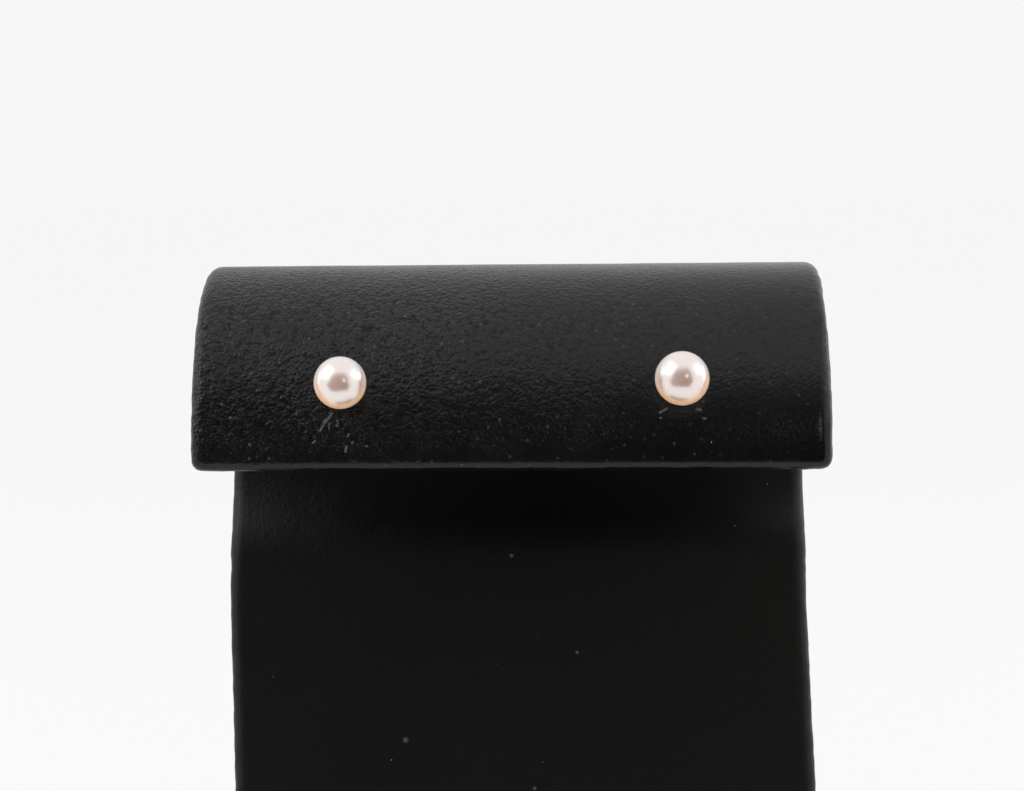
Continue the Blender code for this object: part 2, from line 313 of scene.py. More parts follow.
@dataclass(frozen=True)
class LeatherFinish(Finish):
    """Black leather with domed pebbles, narrow creases darkened by painted shade, and a soft sheen.

    A pair of places or heights is what a fade lies between.

    Attributes:
        relief: How far pebbles, small pebbles, their walls, swells, pores and
            nicks stand out, as shares of the depth.
        depth_right: The grain's depth at the right edge, as a share of the left's.
        grained: Where the grain sets in. The leather under it is plain, and painted shade darkens
            it.
        behind: Where it ends at the back.
        calm_side: Where the calmer lower right begins, which calm_heights ends.
        crown: Where, on top, the painted shade of the pits fades out and a painted shade dims the
            sheen.
        glint_size: The radius of a painted glint, as a share of the glints' spacing.
        nicks: The scratches and grains of dust on it.
    """

    name: str = "black_pebbled_leather"
    dark: Colour = (0.0020, 0.0020, 0.0021)
    worn: Colour = (0.0042, 0.0042, 0.0043)
    scuff_and_painted_glint: Colour = (0.10, 0.10, 0.095)
    pebble: float = 0.00066
    small_pebble: float = 0.00034
    drift: float = 0.0011
    drift_reach: float = 0.0006
    swell: float = 0.0021
    pore: float = 0.00013
    patch: float = 0.009
    gloss: float = 0.00045
    relief: tuple[float, ...] = (0.60, 0.46, 0.08, 0.22, 0.08, 0.9)
    depth: float = 0.00010
    depth_right: float = 0.26
    half_width: float = 0.030
    grained: Pair = (0.0655, 0.0690)
    behind: Pair = (0.004, 0.014)
    front: Pair = (-0.004, 0.004)
    hem: Pair = (0.0696, 0.0722)
    calm_side: Pair = (0.002, 0.022)
    calm_heights: Pair = (0.0740, 0.0800)
    calm_share: float = 0.55
    crown: Pair = (0.0825, 0.0872)
    crown_painted_shade: float = 0.2
    plain_share: float = 0.20
    plain_tone: Colour = (0.0013, 0.0013, 0.0014)
    plain_painted_shade: float = 0.12
    plain_roughness: float = 0.40
    roughness: float = 0.25
    roughness_right: float = 0.22
    specular: float = 0.35
    pit_painted_shade: float = 0.58
    glint_spacing: float = 0.0009
    glint_size: float = 0.22
    glint_heights: Pair = (0.0840, 0.0865)
    nicks: tuple[Nick, ...] = ()

    def surface(self, board: NodeBoard) -> Wire:
        """Wires pebbles, creases, fine pores and old nicks, with painted shade and painted glints.
        """
        place = self.place(board)
        across, back, upward = place.parts()
        dome, small_dome, wall = self._pebbles(board, place)
        swell = board.grain(place, self.swell, 3.0)
        patch = board.grain(place, self.patch)
        side = (across / self.half_width).eased(-1.0, 1.0)
        grained = upward.eased(*self.grained) * (1 - back.eased(*self.behind))
        fading = (1 - side * (1 - self.depth_right)) * (patch * 1.4 + 0.3)
        fading = fading * (grained * (1 - self.plain_share) + self.plain_share)
        fading = fading * (1 - (1 - back.eased(*self.front)) * (1 - upward.eased(*self.hem)))
        calm = across.eased(*self.calm_side) * (1 - upward.eased(*self.calm_heights))
        fading = fading * (1 - calm * self.calm_share)
        torn = board.add("ShaderNodeValue")
        for nick in self.nicks:
            torn = torn.at_least(nick.strength(place))
        domes, small_domes, walls, swells, pores, tears = self.relief
        lumps = dome * domes + small_dome * small_domes + wall * walls
        height = lumps * fading + swell * swells + board.grain(place, self.pore) * pores
        height = height + torn * tears
        wear = (patch * 0.6 + swell * 0.4).eased(0.3, 0.75)
        colour = board.mixed(wear, self.dark, self.worn)
        colour = board.mixed(grained, self.plain_tone, colour)
        colour = board.mixed(torn * 0.8, colour, self.scuff_and_painted_glint)
        # Painted highlights: sparse lighter dots in the colour stand for glints on single pebbles;
        # the nicks' lighter colour above is real scratches and dust.
        painted_glints = self._glints(board, place) * grained * (fading * 0.7 + 0.3)
        painted_glints = painted_glints * (1 - upward.eased(*self.glint_heights))
        colour = board.mixed(painted_glints.at_most(1.0), colour, self.scuff_and_painted_glint)
        # Painted shade: the pits between the pebbles, the plain leather below the grain and the
        # crown's sheen are mixed towards a shader without reflection, which darkens them.
        crown = upward.eased(*self.crown)
        pits = (1 - dome).eased(0.6, 1.0) * (1 - small_dome).eased(0.35, 0.95)
        pitted = (fading * 0.85 + 0.1) * grained * (1 - crown) * (1 - torn)
        shade = (pits * self.pit_painted_shade * pitted).at_most(0.6)
        shade = shade + (1 - grained) * self.plain_painted_shade + crown * self.crown_painted_shade
        polish = self.roughness - side * (self.roughness - self.roughness_right)
        polish = polish * grained + (1 - grained) * self.plain_roughness
        polish = polish * (1 + (0.1 - small_dome * 0.4) * grained)
        polish = polish + (board.grain(place, self.gloss) - 0.5) * 0.10 + (patch - 0.5) * 0.05
        normal = self.bump(board, height, self.depth)
        given = {"Specular IOR Level": self.specular, "Normal": normal}
        skin = board.principled(colour, polish, given)
        hollow = board.principled(colour, 0.9, {"Specular IOR Level": 0.0, "Normal": normal})
        return board.add("ShaderNodeMixShader", inputs={0: shade, 1: skin, 2: hollow})

    def _pebbles(self, board: NodeBoard, place: Wire) -> tuple[Wire, Wire, Wire]:
        """The domes of the pebbles, of the small pebbles, and the walls between them."""
        given = {"Vector": place, "Scale": 1 / self.drift, "Detail": 3.0}
        drift = board.add("ShaderNodeTexNoise", inputs=given, output=1)
        moved = drift.vector("SUBTRACT", (0.5, 0.5, 0.5)).scaled(self.drift_reach)
        warped = place.vector("ADD", moved)
        heart = board.cells(warped, self.pebble, "F1")
        lot, _, _ = board.cells(warped, self.pebble, "F1", "Color").parts()
        small = board.cells(warped, self.small_pebble, "F1")
        dome, small_dome = ((1 - far * far * 1.5).at_least(0.0) ** 2 for far in (heart, small))
        wall = board.cells(warped, self.pebble, "DISTANCE_TO_EDGE").eased(0.0, 0.12)
        return dome * (lot * 0.6 + 0.4), small_dome, wall

    def _glints(self, board: NodeBoard, place: Wire) -> Wire:
        """The small painted glints on single pebbles, lighter dots in the colour, each of its own
        strength.
        """
        spot = board.cells(place, self.glint_spacing, "F1")
        luck, _, _ = board.cells(place, self.glint_spacing, "F1", "Color").parts()
        return (1 - spot / self.glint_size).at_least(0.0) * luck**2


@dataclass(frozen=True)
class NacreFinish(Finish):
    """Cultured pearl: a warm, translucent body under a pinkish white, mirroring nacre.

    Attributes:
        body: The body's colour seen straight on, then at the rim and at the rim's underside, which
            has a painted warm glow.
        lustre: The colour that the nacre mirrors with.
        share: The nacre's share where it is seen straight on, then as above.
        rim_from: How far turned away a point is where the rim fades in.
        light_reach: How far light gets in the body, in metres.
    """

    name: str = "pearl_nacre"
    body: Colour = (0.80, 0.53, 0.455)
    rim_body: Colour = (0.70, 0.67, 0.66)
    underside_painted_glow: Colour = (0.98, 0.61, 0.37)
    lustre: Colour = (0.92, 1.0, 1.0)
    share: float = 0.58
    rim_share: float = 0.12
    under_share: float = 0.02
    rim_from: Pair = (0.34, 0.74)
    light_reach: float = 0.0008
    roughness: float = 0.265
    cloud: float = 0.0007
    band: float = 0.0016
    ripple: float = 0.0004
    ripple_depth: float = 0.0000012

    def surface(self, board: NodeBoard) -> Wire:
        """Wires the soft body, its painted underside glow and the mirroring nacre over it."""
        place = self.place(board)
        bands = board.grain(place, self.band) - 0.5
        facing = board.add("ShaderNodeLayerWeight", inputs={"Blend": 0.5}, output="Facing")
        # Painted light: the rim's colour follows its direction in the world, pale grey where it
        # faces up and a painted warm glow where it faces down, where the nacre's mirror share also
        # drops.
        _, _, upward = board.add("ShaderNodeNewGeometry", output="Normal").parts()
        under = (-upward).eased(-0.75, 0.75)
        rim = (facing + under * 0.14).eased(*self.rim_from)
        rim_colour = board.mixed(under, self.rim_body, self.underside_painted_glow)
        colour = board.mixed(rim + bands * 0.2, self.body, rim_colour)
        polish = self.roughness + (board.grain(place, self.cloud, 3.0) - 0.5) * 0.05
        ripple = self.bump(board, board.grain(place, self.ripple), self.ripple_depth)
        soft = {
            "Specular IOR Level": 0.3,
            "Subsurface Weight": 1.0,
            "Subsurface Radius": (1.0, 1.0, 1.0),
            "Subsurface Scale": self.light_reach,
            "Normal": ripple,
        }
        body = board.principled(colour, polish, soft)
        nacre = board.principled((*self.lustre, 1), polish, {"Metallic": 1.0, "Normal": ripple})
        rim_share = self.rim_share - under * (self.rim_share - self.under_share)
        share = self.share * (1 - rim) + rim_share * rim
        return board.add("ShaderNodeMixShader", inputs={0: share, 1: body, 2: nacre})


@dataclass(frozen=True)
class GoldFinish(Finish):
    """Polished yellow gold with fine handling marks."""

    name: str = "polished_gold"
    colour: Colour = (0.83, 0.60, 0.27)
    roughness: float = 0.20

    def surface(self, board: NodeBoard) -> Wire:
        """Wires the metal with fine scratches and a little uneven polish."""
        place = self.place(board)
        polish = board.grain(place, 0.0009, 3.0)
        scratches = board.grain(place.vector("MULTIPLY", (1.0, 1.0, 7.0)), 0.0005, 3.0, 0.7)
        pale = tuple(min(1.0, value * 1.12) for value in self.colour)
        colour = board.mixed(polish.eased(0.3, 0.7), self.colour, pale)
        roughness = self.roughness + (polish - 0.5) * 0.12 + (scratches - 0.5) * 0.08
        marks = self.bump(board, scratches, 0.000002)
        return board.principled(colour, roughness, {"Metallic": 1.0, "Normal": marks})


@dataclass(frozen=True)
class LintFinish(Finish):
    """Pale dust on the leather."""

    name: str = "pale_lint"

    def surface(self, board: NodeBoard) -> Wire:
        """Wires a matt, slightly uneven grey."""
        tone = board.grain(self.place(board), 0.003, 1.0)
        colour = board.mixed(tone.eased(0.35, 0.65), (0.16, 0.16, 0.15), (0.5, 0.49, 0.46))
        return board.principled(colour, 0.9, {})


@dataclass(frozen=True)
class LightTableFinish(Finish):
    """The pale, softly lit table under the stand."""

    name: str = "light_table"
    glow: float = 0.726
    tone: float = 0.21

    def surface(self, board: NodeBoard) -> Wire:
        """Wires a matt white with the faintest mottle, lit a little from below."""
        mottle = board.grain(self.place(board), 0.12)
        colour = board.mixed(mottle, (self.tone * 0.99,) * 3, (self.tone,) * 3)
        matt = board.add("ShaderNodeBsdfDiffuse", inputs={"Color": colour})
        light = board.add("ShaderNodeEmission", inputs={"Color": WHITE, "Strength": self.glow})
        return board.add("ShaderNodeAddShader", inputs={0: matt, 1: light})


@dataclass(frozen=True)
class DarkRoomFinish(Finish):
    """The unlit room behind the camera, which the pearls mirror."""

    name: str = "dark_room"
    left_glow: Colour = (0.165, 0.148, 0.146)
    right_glow: Colour = (0.018, 0.018, 0.018)
    half_width: float = 0.22
    middle: float = -0.04
    top_glow: Colour = (0.45, 0.45, 0.45)
    top_heights: Pair = (0.24, 0.52)

    def surface(self, board: NodeBoard) -> Wire:
        """Wires a faint glow, stronger on the left and near the top."""
        across, _, upward = self.place(board).parts()
        side = across.eased(self.middle - self.half_width, self.middle + self.half_width)
        glow = board.mixed(side, self.left_glow, self.right_glow)
        glow = board.mixed(upward.eased(*self.top_heights), glow, self.top_glow)
        return board.add("ShaderNodeEmission", inputs={"Color": glow, "Strength": 1.0})


class ShapeTree:
    """A Geometry Nodes tree with named inputs, made once and shared.

    Attributes:
        numbers: The names of its inputs that are plain numbers.
        seed_kind: The kind of number that its seed is.
    """

    name = "shape"
    numbers: tuple[str, ...] = ()
    seed_kind = "Float"
    _made: "ShapeTree | None" = None

    def __init__(self) -> None:
        """Makes the sockets and wires the tree."""
        self.tree = bpy.data.node_groups.new(self.name, "GeometryNodeTree")
        self.tree.is_modifier = True
        add = self.tree.interface.new_socket
        kinds = {"Geometry": "Geometry", "Material": "Material", "Seed": self.seed_kind}
        kinds |= dict.fromkeys(self.numbers, "Float")
        self.sockets = {
            name: add(name, in_out="INPUT", socket_type="NodeSocket" + kind).identifier
            for name, kind in kinds.items()
        }
        add("Geometry", in_out="OUTPUT", socket_type="NodeSocketGeometry")
        board = NodeBoard(self.tree)
        given = board.node("NodeGroupInput")
        value = {name: Wire(board, given.outputs[name]) for name in self.sockets}
        shaped = self.shape(board, value)
        real = board.add("GeometryNodeRealizeInstances", inputs={"Geometry": shaped})
        last = {"Geometry": real, "Material": value["Material"]}
        board.node("NodeGroupOutput", inputs={0: board.add("GeometryNodeSetMaterial", inputs=last)})

    @classmethod
    def shared(cls) -> "ShapeTree":
        """The one tree of this class."""
        if cls._made is None:
            cls._made = cls()
        return cls._made

    def shape(self, board: NodeBoard, value: Mapping[str, Wire]) -> Wire:
        """Wires the shaping and gives its geometry."""
        raise NotImplementedError

    def work(self, obj: bpy.types.Object, finish: Finish, source: Any, **more: float) -> None:
        """Lets the tree shape an object and makes the result a plain mesh.

        Args:
            obj: The object.
            finish: The finish of the new surface.
            source: The dataclass whose fields are the inputs of the same names.
            more: Further inputs, in the same manner of names.
        """
        values = {part.name: getattr(source, part.name) for part in fields(source)} | more
        modifier = obj.modifiers.new(self.name, "NODES")
        modifier.node_group = self.tree
        for name, socket in self.sockets.items():
            if name == "Material":
                modifier[socket] = finish.material()
            elif name != "Geometry":
                modifier[socket] = values[name.lower().replace(" ", "_")]
        settle(obj)


class WrappedBoardTree(ShapeTree):
    """Geometry Nodes that draw a soft-edged board along the object's own path.

    The object's mesh is a line of points. The board starts flat, gets its
    rounded edges and its unevenness, and is then bent to lie along that line.
    """

    name = "wrapped_board"
    numbers = (
        *("Width", "Length", "Thickness", "Side Rounding", "End Rounding", "Face Rounding"),
        *("Start Rounding", "Fineness", "Thickness Fineness", "Start Skew"),
        *("Wave Height", "Wave Size", "Edge Height", "Edge Size"),
    )

    def shape(self, board: NodeBoard, value: Mapping[str, Wire]) -> Wire:
        """Wires the board, from flat to bent."""
        size = board.vector(value["Width"], value["Length"], value["Thickness"])
        flat = board.node("GeometryNodeMeshCube", inputs={"Size": size})
        steps = {"Width": "Fineness", "Length": "Fineness", "Thickness": "Thickness Fineness"}
        for index, (side, step) in enumerate(steps.items()):
            board.feed(flat, index + 1, (value[side] / value[step]).ceil() + 1)
        start = board.add("GeometryNodeInputPosition")
        _, lengthways, _ = start.parts()
        first = board.add("ShaderNodeMath", {"operation": "LESS_THAN"}, {0: lengthways, 1: 0.0})
        end = first * value["Start Rounding"] + (1 - first) * value["End Rounding"]
        radii = board.vector(value["Side Rounding"], end, value["Face Rounding"])
        inner = size.scaled(0.5).vector("SUBTRACT", radii)
        core = start.vector("MINIMUM", inner).vector("MAXIMUM", inner.scaled(-1.0))
        outward = start.vector("SUBTRACT", core).vector("DIVIDE", radii).vector("NORMALIZE")
        proud = outward.scaled(self._unevenness(board, value, start, outward))
        soft = core.vector("ADD", outward.vector("MULTIPLY", radii)).vector("ADD", proud)
        across, even, above = soft.parts()
        along = even + across * value["Start Skew"] * (0.5 - even / value["Length"])
        path = board.add("GeometryNodeMeshToCurve", inputs={"Mesh": value["Geometry"]})
        sample = board.node(
            "GeometryNodeSampleCurve",
            {"mode": "LENGTH", "data_type": "FLOAT"},
            {"Curves": path, "Length": along + value["Length"] * 0.5},
        )
        here = Wire(board, sample.outputs["Position"])
        tangent = Wire(board, sample.outputs["Tangent"])
        beyond = self._beyond_ends(along, value["Length"])
        side = board.vector(1.0, 0.0, 0.0)
        outside = side.vector("CROSS_PRODUCT", tangent).vector("NORMALIZE")
        bent = here.vector("ADD", outside.scaled(above)).vector("ADD", side.scaled(across))
        bent = bent.vector("ADD", tangent.scaled(beyond))
        shaped = board.add(
            "GeometryNodeSetPosition",
            inputs={"Geometry": Wire(board, flat.outputs["Mesh"]), "Position": bent},
        )
        return board.add("GeometryNodeSetShadeSmooth", inputs={"Geometry": shaped})

    @staticmethod
    def _beyond_ends(along: Wire, length: Wire) -> Wire:
        """How far a point reaches past the path's ends, which sampling cuts off."""
        half = length * 0.5
        return (along - half).at_least(0.0) + (along + half).at_most(0.0)

    @staticmethod
    def _unevenness(
        board: NodeBoard, value: Mapping[str, Wire], start: Wire, outward: Wire
    ) -> Wire:
        """How far the surface stands proud: broad waves, and lumps at the edges."""

        def noise_of(size: Wire) -> Wire:
            fine = {"Vector": start, "W": value["Seed"], "Scale": 1 / size, "Detail": 2.0}
            return board.add("ShaderNodeTexNoise", {"noise_dimensions": "4D"}, fine) - 0.5

        _, _, facing = outward.parts()
        sideways = (1 - facing * facing).at_least(0.0).root()
        waves = noise_of(value["Wave Size"]) * value["Wave Height"]
        lumps = noise_of(value["Edge Size"]) * value["Edge Height"] * sideways
        return waves + lumps


@dataclass(frozen=True)
class WrappedBoard:
    """One board drawn along a path.

    Attributes:
        path: The points that the middle of the board follows.
        side_rounding: How far in its side edges are rounded.
        start_rounding: How far in its first end is rounded.
        fineness: The size of its faces, along and across.
        layers: How many rows of faces its thickness has.
        start_skew: How far out of square its first end is cut.
        wave_height: How high its broad waves are.
        edge_height: How high the lumps along its edges are.
    """

    name: str
    path: Sequence[Vector]
    width: float
    thickness: float
    side_rounding: float
    start_rounding: float
    end_rounding: float
    fineness: float = 0.0004
    layers: int = 6
    start_skew: float = 0.0
    wave_height: float = 0.0
    wave_size: float = 0.007
    edge_height: float = 0.0
    edge_size: float = 0.0016
    seed: float = 0.0

    def build(self, finish: Finish) -> bpy.types.Object:
        """Makes the board as a plain mesh at the origin."""
        obj = new_line(self.name, self.path)
        WrappedBoardTree.shared().work(
            obj,
            finish,
            self,
            length=sum((b - a).length for a, b in zip(self.path, self.path[1:])),
            face_rounding=self.thickness * FACE_ROUNDING,
            thickness_fineness=self.thickness / self.layers,
        )
        return obj


class LintTree(ShapeTree):
    """Geometry Nodes that scatter small flecks over the object's own surface."""

    name = "scattered_lint"
    numbers = ("Density", "Smallest", "Largest")
    seed_kind = "Int"

    def shape(self, board: NodeBoard, value: Mapping[str, Wire]) -> Wire:
        """Wires the flecks, each of its own size, length and turn."""

        def chance(low: Any, high: Any, seed: Any) -> Wire:
            limits = {2: low, 3: high, "Seed": seed}
            return board.add("FunctionNodeRandomValue", {"data_type": "FLOAT"}, limits, 1)

        given = {"Mesh": value["Geometry"], "Density": value["Density"], "Seed": value["Seed"]}
        points = board.node("GeometryNodeDistributePointsOnFaces", inputs=given)
        fleck = board.add("GeometryNodeMeshIcoSphere", inputs={"Radius": 1.0, "Subdivisions": 1})
        radius = chance(value["Smallest"], value["Largest"], value["Seed"])
        length = chance(*FLECK_LENGTHS, 11)
        turn = board.add(
            "FunctionNodeAxisAngleToRotation",
            inputs={"Axis": (0.0, 0.0, 1.0), "Angle": chance(0.0, math.tau, 23)},
        )
        upright = Wire(board, points.outputs["Rotation"])
        turned = board.add(
            "FunctionNodeRotateRotation", {"rotation_space": "LOCAL"}, {0: upright, 1: turn}
        )
        return board.add(
            "GeometryNodeInstanceOnPoints",
            inputs={
                "Points": Wire(board, points.outputs["Points"]),
                "Instance": fleck,
                "Rotation": turned,
                "Scale": board.vector(radius * length, radius, radius * 0.5),
            },
        )


def new_object(name: str, data: bpy.types.ID) -> bpy.types.Object:
    """A new object of a mesh, a camera or a lamp in the scene."""
    made = bpy.data.objects.new(name, data)
    bpy.context.scene.collection.objects.link(made)
    return made


def new_line(name: str, points: Sequence[Sequence[float]]) -> bpy.types.Object:
    """A new object that is a line through some points."""
    mesh = bpy.data.meshes.new(name)
    edges = [(i, i + 1) for i in range(len(points) - 1)]
    mesh.from_pydata([tuple(point) for point in points], edges, [])
    return new_object(name, mesh)


def new_body(name: str, bm: bmesh.types.BMesh) -> bpy.types.Object:
    """A new object of a mesh that is being built, which this frees."""
    mesh = bpy.data.meshes.new(name)
    bm.to_mesh(mesh)
    bm.free()
    return new_object(name, mesh)


def sine(turn: float) -> float:
    """The sine of an angle in degrees."""
    return math.sin(math.radians(turn))


def cosine(turn: float) -> float:
    """The cosine of an angle in degrees."""
    return math.cos(math.radians(turn))


def settle(obj: bpy.types.Object) -> None:
    """Turns an object with its modifiers into a plain mesh without them."""
    bpy.context.view_layer.update()
    evaluated = obj.evaluated_get(bpy.context.evaluated_depsgraph_get())
    mesh = bpy.data.meshes.new_from_object(evaluated)
    obj.modifiers.clear()
    old, obj.data = obj.data, mesh
    bpy.data.meshes.remove(old)
    mesh.name = obj.name


def turned_piece(
    name: str, profile: Sequence[tuple[float, float]], sides: int, finish: Finish
) -> bpy.types.Object:
    """Makes a body turned round Z.

    Args:
        name: The piece's name.
        profile: Its outline as (radius, height), from top to bottom.
        sides: How many sides it has.
        finish: The finish of its surface.

    Returns:
        The new object, at the origin.
    """
    obj = new_line(name, [(radius, 0.0, height) for radius, height in profile])
    screw = obj.modifiers.new("turning", "SCREW")
    screw.steps = screw.render_steps = sides
    screw.use_merge_vertices = True
    screw.merge_threshold = TINY / 2
    settle(obj)
    shade(obj, finish, TURNED_SHARPNESS)
    return obj


def shade(obj: bpy.types.Object, finish: Finish, sharp_angle: float) -> None:
    """Gives an object its material and smooth shading between shallow faces."""
    obj.data.materials.clear()
    obj.data.materials.append(finish.material())
    obj.data.shade_smooth()
    obj.data.set_sharp_from_angle(angle=math.radians(sharp_angle))


def pierce(obj: bpy.types.Object, radius: float, low: float, high: float, placed: Matrix) -> None:
    """Drills a round hole along a placed Z axis, between two heights on it."""
    bm = bmesh.new()
    bmesh.ops.create_cone(
        bm,
        cap_ends=True,
        segments=32,
        radius1=radius,
        radius2=radius,
        depth=high - low,
        matrix=placed @ Matrix.Translation((0, 0, (low + high) / 2)),
    )
    drill = new_body("drill", bm)
    cut = obj.modifiers.new("drilled", "BOOLEAN")
    cut.operation = "DIFFERENCE"
    cut.solver = "EXACT"
    cut.object = drill
    settle(obj)
    bpy.data.objects.remove(drill)


def carry(obj: bpy.types.Object, slot: Slot, *nodes: str) -> bpy.types.Object:
    """Makes a piece ride on the body and stand for its nodes."""
    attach(obj, BODY)
    if nodes:
        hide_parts(*nodes)
    log.info("%s: %d faces", obj.name, len(obj.data.polygons))
    return obj


@dataclass(frozen=True)
class StandShape:
    """The sizes of the stand's strip, and the line that it follows."""

    height: float = 0.088
    width: float = 0.060
    board: float = 0.0022
    side_edge: float = 0.0012
    flap_edge: float = 0.0010
    foot_edge: float = 0.00012
    outer_radius: float = 0.018
    front_angle: float = -2.0
    rear_angle: float = 215.0
    crease_radius: float = 0.0100
    tail_length: float = 0.0041
    lean: float = 11.65
    skew: float = 1.88
    gap: float = 0.0003
    step: float = 1.5

    @property
    def mid_radius(self) -> float:
        """The roll's radius at mid-thickness."""
        return self.outer_radius - self.board / 2

    @property
    def inner_radius(self) -> float:
        """The roll's radius inside."""
        return self.outer_radius - self.board

    @property
    def lean_slope(self) -> float:
        """How far back the upright goes for each metre up."""
        return math.tan(math.radians(self.lean))

    @property
    def tail_heading(self) -> float:
        """The heading of the tail in radians, down and a little forward."""
        return math.radians(-90 - self.lean)

    def at(self, angle: float, radius: float, x: float = 0.0) -> Vector:
        """The point at an angle and a radius round the roll's axis."""
        centre_height = self.height - self.outer_radius
        return Vector((x, -radius * cosine(angle), centre_height + radius * sine(angle)))

    @staticmethod
    def towards(heading: float) -> Vector:
        """The unit vector along a heading."""
        return Vector((0.0, math.cos(heading), math.sin(heading)))

    @staticmethod
    def behind(heading: float) -> Vector:
        """The unit vector on the left of a heading, the tail's back."""
        return Vector((0.0, -math.sin(heading), math.cos(heading)))

    def roll_path(self) -> list[Vector]:
        """The roll at mid-thickness: its arc, its crease and its tail."""
        points = [
            self.at(angle, self.mid_radius)
            for angle in spread(self.front_angle, self.rear_angle, self.step)
        ]
        first = math.radians(90 - self.rear_angle)
        centre = points[-1] + self.crease_radius * self.behind(first)
        turns = spread(math.degrees(first), math.degrees(self.tail_heading), 3.0)
        for heading in turns[1:]:
            points.append(centre - self.crease_radius * self.behind(math.radians(heading)))
        points.append(points[-1] + self.tail_length * self.towards(self.tail_heading))
        return points

    def strip_path(self, foot: float) -> list[Vector]:
        """The whole strip, from the flap round the roll and down to a height."""
        points = self.roll_path()
        joint = points[-1]
        skew = math.tan(math.radians(self.skew))
        for height in spread(joint.z, foot, 0.001)[1:]:
            rise = height - joint.z
            points.append(Vector((-skew * rise, joint.y + self.lean_slope * rise, height)))
        return points

    def on_upright(self, x: float, height: float) -> Vector:
        """The point on the upright's front face at an x and a height."""
        joint = self.roll_path()[-1]
        front = joint - self.board / 2 * self.behind(self.tail_heading)
        return Vector((x, front.y + self.lean_slope * (height - front.z), height))


def spread(start: float, end: float, step: float) -> list[float]:
    """Values from start to end in equal steps no longer than step."""
    count = max(1, math.ceil(abs(end - start) / step - SPARE_STEP))
    return [start + (end - start) * i / count for i in range(count + 1)]


@dataclass
class DisplayStand:
    """The stand: the strip that makes its roll and its upright, and its base plate."""

    shape: StandShape
    leather: LeatherFinish
    plain_leather: LeatherFinish
    holes: Sequence[tuple[Matrix, float]]
    hole_radius: float = 0.0006
    flap_skew: float = -0.0038
    wave_height: float = 0.00010
    edge_height: float = 0.00030

    def build(self) -> bpy.types.Object:
        """Builds both pieces, lets them ride and gives the strip."""
        strip = self._strip()
        self._base()
        return strip

    def _strip(self) -> bpy.types.Object:
        """The strip: flap, rolled top and upright in one, pierced by the two posts."""
        shape = self.shape
        low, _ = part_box("stand_upright")
        strip = WrappedBoard(
            "leather_roll_and_upright",
            shape.strip_path(low.z),
            shape.width,
            shape.board,
            shape.side_edge,
            shape.flap_edge,
            shape.foot_edge,
            fineness=0.00042,
            start_skew=self.flap_skew,
            wave_height=self.wave_height,
            edge_height=self.edge_height,
            seed=1.0,
        ).build(self.leather)
        for placed, seat in self.holes:
            inside, outside = -seat - shape.board * 1.6, -seat + shape.board * 0.6
            pierce(strip, self.hole_radius, inside, outside, placed)
        shade(strip, self.leather, PIERCED_SHARPNESS)
        return carry(strip, Slot.LEATHER, "stand_curl", "stand_upright")

    def _base(self) -> bpy.types.Object:
        """The base plate."""
        low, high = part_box("stand_base")
        middle = (low.z + high.z) / 2
        path = [Vector((0.0, y, middle)) for y in spread(low.y, high.y, 0.001)]
        base = WrappedBoard(
            "leather_base_plate",
            path,
            high.x - low.x,
            high.z - low.z,
            *(self.shape.side_edge,) * 3,
            layers=8,
            edge_height=self.edge_height * 0.25,
            seed=3.0,
        ).build(self.plain_leather)
        return carry(base, Slot.LEATHER, "stand_base")


@dataclass(frozen=True)
class StudShape:
    """The sizes that both studs share."""

    setting_gap: float = 0.0002
    cup_wall: float = 0.0003
    cup_radius: float = 0.0015
    peg_radius: float = 0.00035
    peg_length: float = 0.0026
    post_radius: float = 0.0004
    post_length: float = 0.0100
    notch_depth: float = 0.00012
    notch_width: float = 0.0005
    notch_from_tip: float = 0.0018
    nut_sheet: float = 0.00025
    nut_width: float = 0.0036
    scroll_radius: float = 0.0009
    scroll_sweep: float = 290.0
    scroll_step: float = 10.0
    nut_rounding: float = 0.45
    pearl_step: float = 1.8
    pearl_sides: int = 128
    out_of_round: float = 0.004
    swell: float = 0.6
    setting_step: float = 2.0
    setting_sides: int = 48


